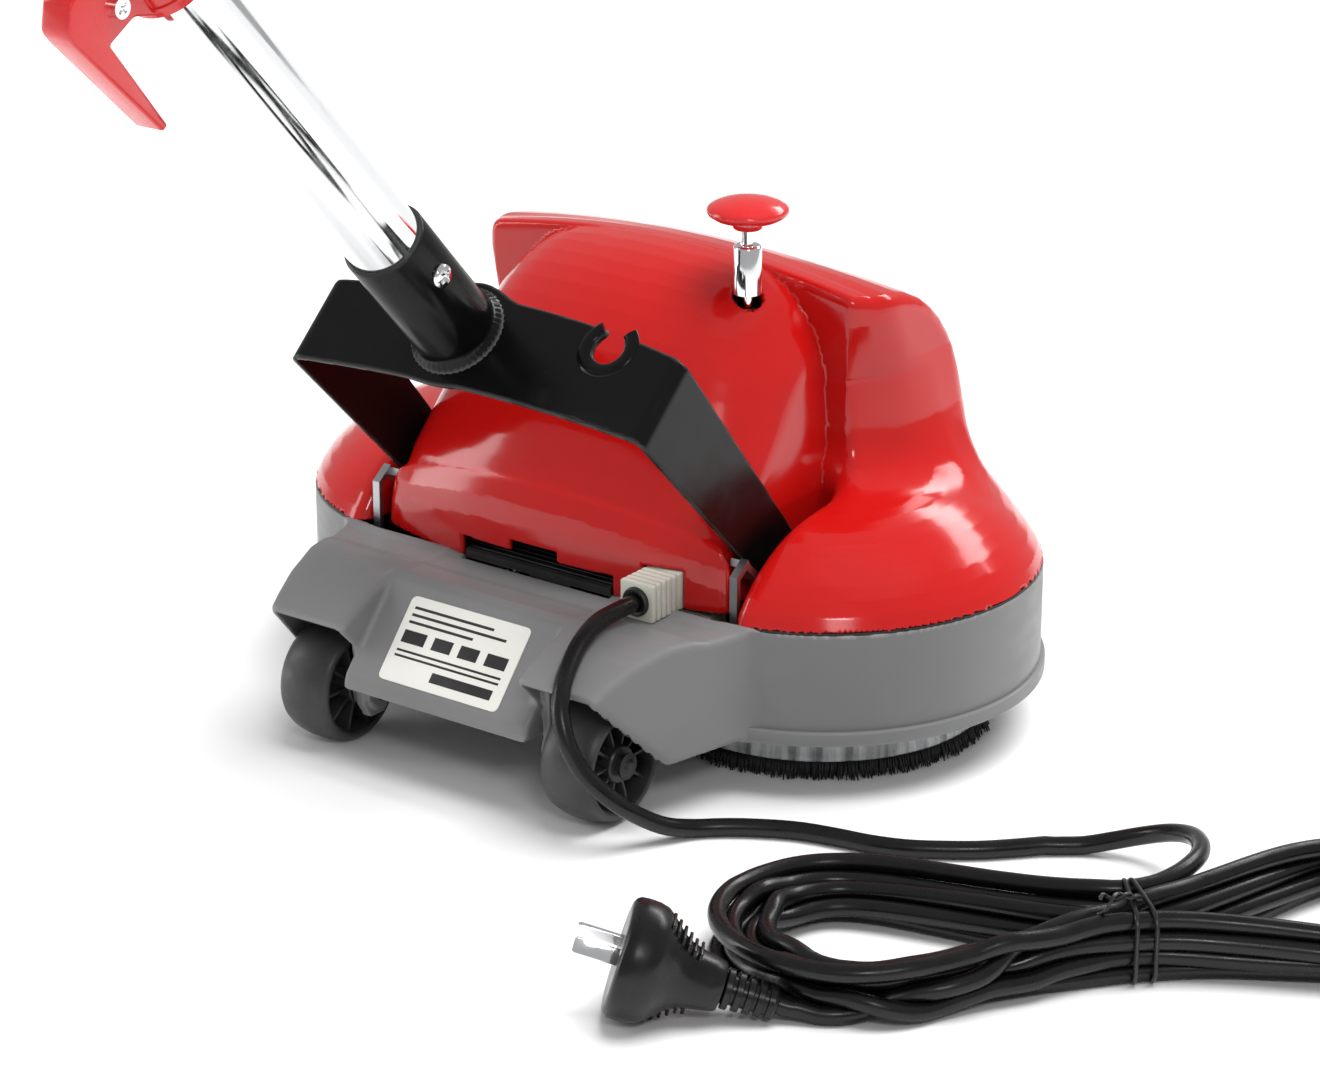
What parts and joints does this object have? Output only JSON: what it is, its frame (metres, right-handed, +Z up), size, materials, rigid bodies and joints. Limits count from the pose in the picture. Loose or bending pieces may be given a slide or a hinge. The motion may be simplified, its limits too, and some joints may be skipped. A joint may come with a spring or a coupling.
{
  "type": "rotary floor machine",
  "caption": "Small rotary floor machine with counter-rotating round brushes under a domed cover, rear wheels, and a tube handle that folds back on a steel yoke.",
  "frame": {"origin": "on the floor, under the centre of the box of the machine and its leaning handle, without the free cord", "axes": "+X to the right seen from behind, +Y forward away from the wheels, +Z up"},
  "size_m": [0.6025, 0.8684, 0.9012],
  "materials": {
    "grey_plastic": "satin",
    "red_gloss": "high gloss",
    "red_plastic": "gloss",
    "black_rubber": "matte",
    "label_film": "satin",
    "cream_plastic": "satin",
    "zinc_steel": "zinc plated",
    "black_steel": "gloss enamel",
    "chrome": "polished",
    "brass": "satin",
    "black_plastic": "satin",
    "switch_red": "satin",
    "core_iron": "laminated and wound",
    "nylon": "satin",
    "cast_alloy": "cast",
    "block_plastic": "satin",
    "bristle": "matte fibre",
    "wheel_plastic": "satin",
    "cord_rubber": "satin",
    "tie_plastic": "satin"
  },
  "bodies": {
    "chassis": {"base_housing": "grey_plastic", "top_cover": "red_gloss", "cover_seal": "black_rubber", "rating_label": "label_film", "cord_grip": "cream_plastic", "chassis_plate": "zinc_steel", "motor_mount": "zinc_steel", "motor_housing": "black_plastic", "stator": "core_iron", "brush_holders": "brass", "motor_bearings": "chrome", "spindle_bearings": "chrome", "drive_belt": "black_rubber", "power_switch": "black_plastic", "pedal_springs": "chrome", "terminal_block": "cream_plastic", "housing_screws": "zinc_steel", "wheel_axles": "zinc_steel", "pivot_pins": "zinc_steel", "yoke_stops": "zinc_steel", "guide_bush": "chrome", "rod_seal": "black_rubber", "cord_lead": "cord_rubber", "cord_hank": "cord_rubber", "cord_tie": "tie_plastic", "plug_body": "cord_rubber", "plug_blades": "chrome"},
    "pedal": {"foot_pedal": "black_plastic"},
    "plunger": {"switch_plunger": "switch_red"},
    "lock": {"lock_rod": "chrome", "lock_knob": "red_plastic"},
    "handle": {"yoke": "black_steel", "pivot_bushes": "brass", "tube_socket": "black_steel", "socket_bolt": "chrome", "lower_tube": "chrome", "tube_coupler": "black_plastic", "upper_tube": "chrome", "lower_hook": "red_plastic", "hook_screws": "chrome", "handle_bar": "black_plastic", "hand_grips": "black_rubber"},
    "swivel_hook": {"upper_hook": "red_plastic"},
    "rotor": {"motor_shaft": "zinc_steel", "armature": "core_iron", "commutator": "brass", "cooling_fan": "black_plastic", "motor_pulley": "zinc_steel"},
    "right_brush": {"right_spindle": "zinc_steel", "right_gear": "nylon", "driven_pulley": "cast_alloy", "right_brush_block": "block_plastic", "right_bristles": "bristle"},
    "left_brush": {"left_spindle": "zinc_steel", "left_gear": "nylon", "left_brush_block": "block_plastic", "left_bristles": "bristle"},
    "right_wheel": {"right_wheel": "wheel_plastic"},
    "left_wheel": {"left_wheel": "wheel_plastic"}
  },
  "joints": [
    {"name": "handle_fold", "type": "hinge", "parent": "chassis", "child": "handle", "pos_m": [0, 0.29874, 0.0785], "axis": [1, 0, 0], "range_deg": [-42.15, 0]},
    {"name": "hook_swivel", "type": "hinge", "parent": "handle", "child": "swivel_hook", "pos_m": [-0.0175, -0.33136, 0.78953], "axis": [0, -0.6711, 0.7414], "range_deg": [0, 180]},
    {"name": "knob_press", "type": "slide", "parent": "chassis", "child": "lock", "axis": [0, 0, 1], "range_m": [-0.0045, 0]},
    {"name": "pedal_press", "type": "hinge", "parent": "chassis", "child": "pedal", "pos_m": [0, 0.27875, 0.077], "axis": [1, 0, 0], "range_deg": [0, 5.5], "stiffness_Nm_per_rad": 1.2, "springref_deg": -8.59, "deforming": ["pedal_springs"]},
    {"name": "plunger_press", "type": "slide", "parent": "chassis", "child": "plunger", "axis": [0, 0, 1], "range_m": [-0.0019, 0]},
    {"name": "right_brush_spin", "type": "hinge", "parent": "chassis", "child": "right_brush", "pos_m": [0.08, 0.33775, 0], "axis": [0, 0, 1], "continuous": true},
    {"name": "left_brush_spin", "type": "hinge", "parent": "chassis", "child": "left_brush", "pos_m": [-0.08, 0.33775, 0], "axis": [0, 0, 1], "continuous": true},
    {"name": "motor_spin", "type": "hinge", "parent": "chassis", "child": "rotor", "pos_m": [0, 0.33775, 0], "axis": [0, 0, 1], "continuous": true},
    {"name": "right_wheel_spin", "type": "hinge", "parent": "chassis", "child": "right_wheel", "pos_m": [0.0698, 0.19475, 0.026], "axis": [1, 0, 0], "continuous": true},
    {"name": "left_wheel_spin", "type": "hinge", "parent": "chassis", "child": "left_wheel", "pos_m": [-0.0698, 0.19475, 0.026], "axis": [1, 0, 0], "continuous": true}
  ],
  "couplings": [
    {"joint": "plunger_press", "follows": "pedal_press", "m_per_rad": -0.018},
    {"joint": "left_brush_spin", "follows": "right_brush_spin", "ratio": -1},
    {"joint": "motor_spin", "follows": "right_brush_spin", "ratio": 3}
  ]
}
